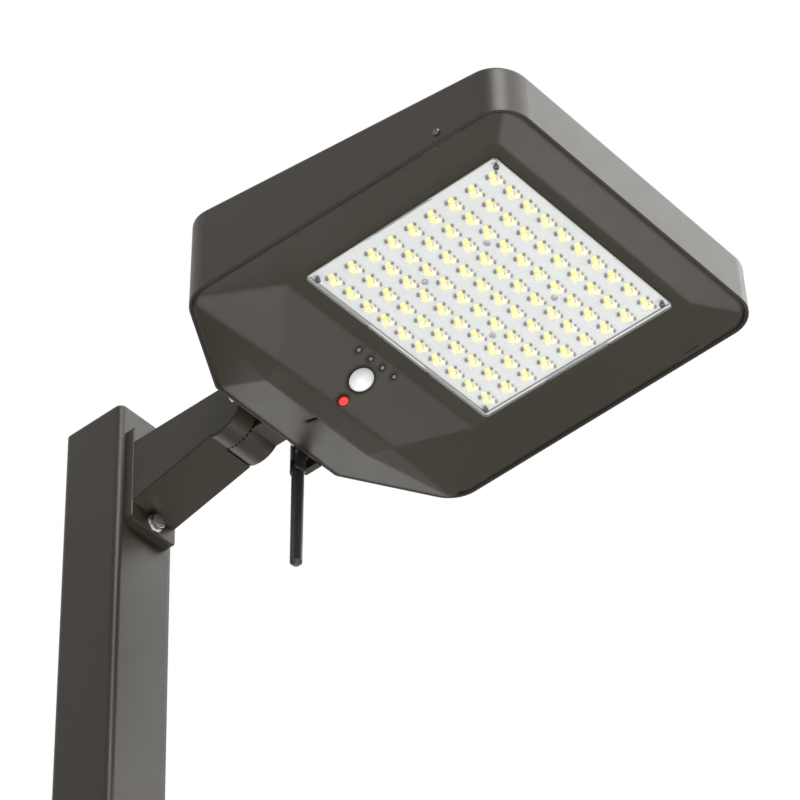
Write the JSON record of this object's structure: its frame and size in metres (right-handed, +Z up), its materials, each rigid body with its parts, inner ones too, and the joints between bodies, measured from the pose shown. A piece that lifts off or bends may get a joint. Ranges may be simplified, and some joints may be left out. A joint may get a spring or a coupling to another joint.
{
  "type": "solar street light",
  "caption": "Wedge-shaped solar light head with a square lens panel, sensor and hanging antenna, on a tilting toothed arm at the top of a tall square pole.",
  "frame": {"origin": "on the pole's axis, on the underside of the base plate", "axes": "+X from the pole towards the front of the head, +Y to the antenna's side, +Z up"},
  "size_m": [0.9768, 0.5056, 3.68],
  "materials": {
    "pole_paint": "dark grey-bronze powder coat on steel",
    "casting_paint": "dark grey-bronze powder coat on cast aluminium",
    "cap_plastic": "black moulded plastic",
    "steel_screws": "plain zinc-plated steel",
    "steel_bolts": "bright stainless steel",
    "dark_screws": "dark plated steel",
    "black_rubber": "soft black rubber",
    "grey_silicone": "light grey silicone cord",
    "white_sheet": "white plastic sheet",
    "solar_cell": "near-black blue silicon with fine silver lines",
    "panel_glass": "clear tempered glass",
    "bare_aluminium": "bare aluminium",
    "white_board": "white circuit board lacquer",
    "led_phosphor": "yellow phosphor of white LEDs",
    "clear_lens": "clear moulded polycarbonate",
    "cell_wrap": null,
    "black_plastic": "black moulded plastic",
    "clear_guide": "smoky clear light guide",
    "green_board": "green circuit board",
    "milky_dome": "milky white sensor dome",
    "red_plastic": "red moulded button",
    "brass_connector": "gold-plated threaded connector",
    "antenna_plastic": "black moulded antenna sleeve"
  },
  "bodies": {
    "root": {"pole": "pole_paint", "base_plate": "pole_paint", "pole_cap": "cap_plastic", "hand_hole_cover": "pole_paint", "hand_hole_screws": "steel_screws", "mounting_arm": "casting_paint", "plate_bolts": "steel_bolts", "plate_washers": "steel_bolts", "backing_bar": "steel_bolts", "pivot_bolt": "steel_bolts", "pivot_washer": "steel_bolts"},
    "antenna_elbow": {"antenna_base": "antenna_plastic", "antenna_pin": "steel_screws"},
    "antenna_rod": {"antenna_whip": "antenna_plastic"},
    "button": {"power_button": "red_plastic"},
    "head": {"head_bracket": "casting_paint", "bracket_bolts": "steel_bolts", "bracket_washers": "steel_bolts", "upper_housing": "casting_paint", "rim_gasket": "black_rubber", "bottom_cover": "casting_paint", "side_screws": "dark_screws", "solar_backsheet": "white_sheet", "solar_cells": "solar_cell", "solar_glass": "panel_glass", "panel_seal": "black_rubber", "roof_grommet": "black_rubber", "heat_sink": "bare_aluminium", "led_board": "white_board", "led_chips": "led_phosphor", "lens_plate": "clear_lens", "lens_gasket": "grey_silicone", "lens_screws": "dark_screws", "board_screws": "steel_screws", "battery_tray": "bare_aluminium", "tray_screws": "steel_screws", "battery_cells": "cell_wrap", "battery_straps": "black_plastic", "charge_controller": "black_plastic", "controller_screws": "steel_screws", "indicator_lenses": "clear_guide", "indicator_board": "green_board", "pir_lens": "milky_dome", "pir_seal": "black_rubber", "pir_holder": "black_plastic", "pir_sensor": "green_board", "switch_body": "black_plastic", "antenna_bracket": "casting_paint", "antenna_bracket_screws": "dark_screws", "antenna_connector": "brass_connector"}
  },
  "joints": [
    {"name": "head_tilt", "type": "hinge", "parent": "root", "child": "head", "pos_m": [0.213, 0, 3.5748], "axis": [0, -1, 0], "range_deg": [-10, 50]},
    {"name": "antenna_swivel", "type": "hinge", "parent": "head", "child": "antenna_elbow", "pos_m": [0.2567, 0.0608, 3.5448], "axis": [0, 1, 0], "range_deg": [-15, 58]},
    {"name": "antenna_fold", "type": "hinge", "parent": "antenna_elbow", "child": "antenna_rod", "pos_m": [0.25591, 0.0608, 3.51831], "axis": [-0.9996, 0, 0.0297], "range_deg": [0, 90]},
    {"name": "button_press", "type": "slide", "parent": "head", "child": "button", "axis": [-0.438, 0, 0.899], "range_m": [0, 0.0015], "stiffness_N_per_m": 800, "springref_m": -0.001}
  ]
}
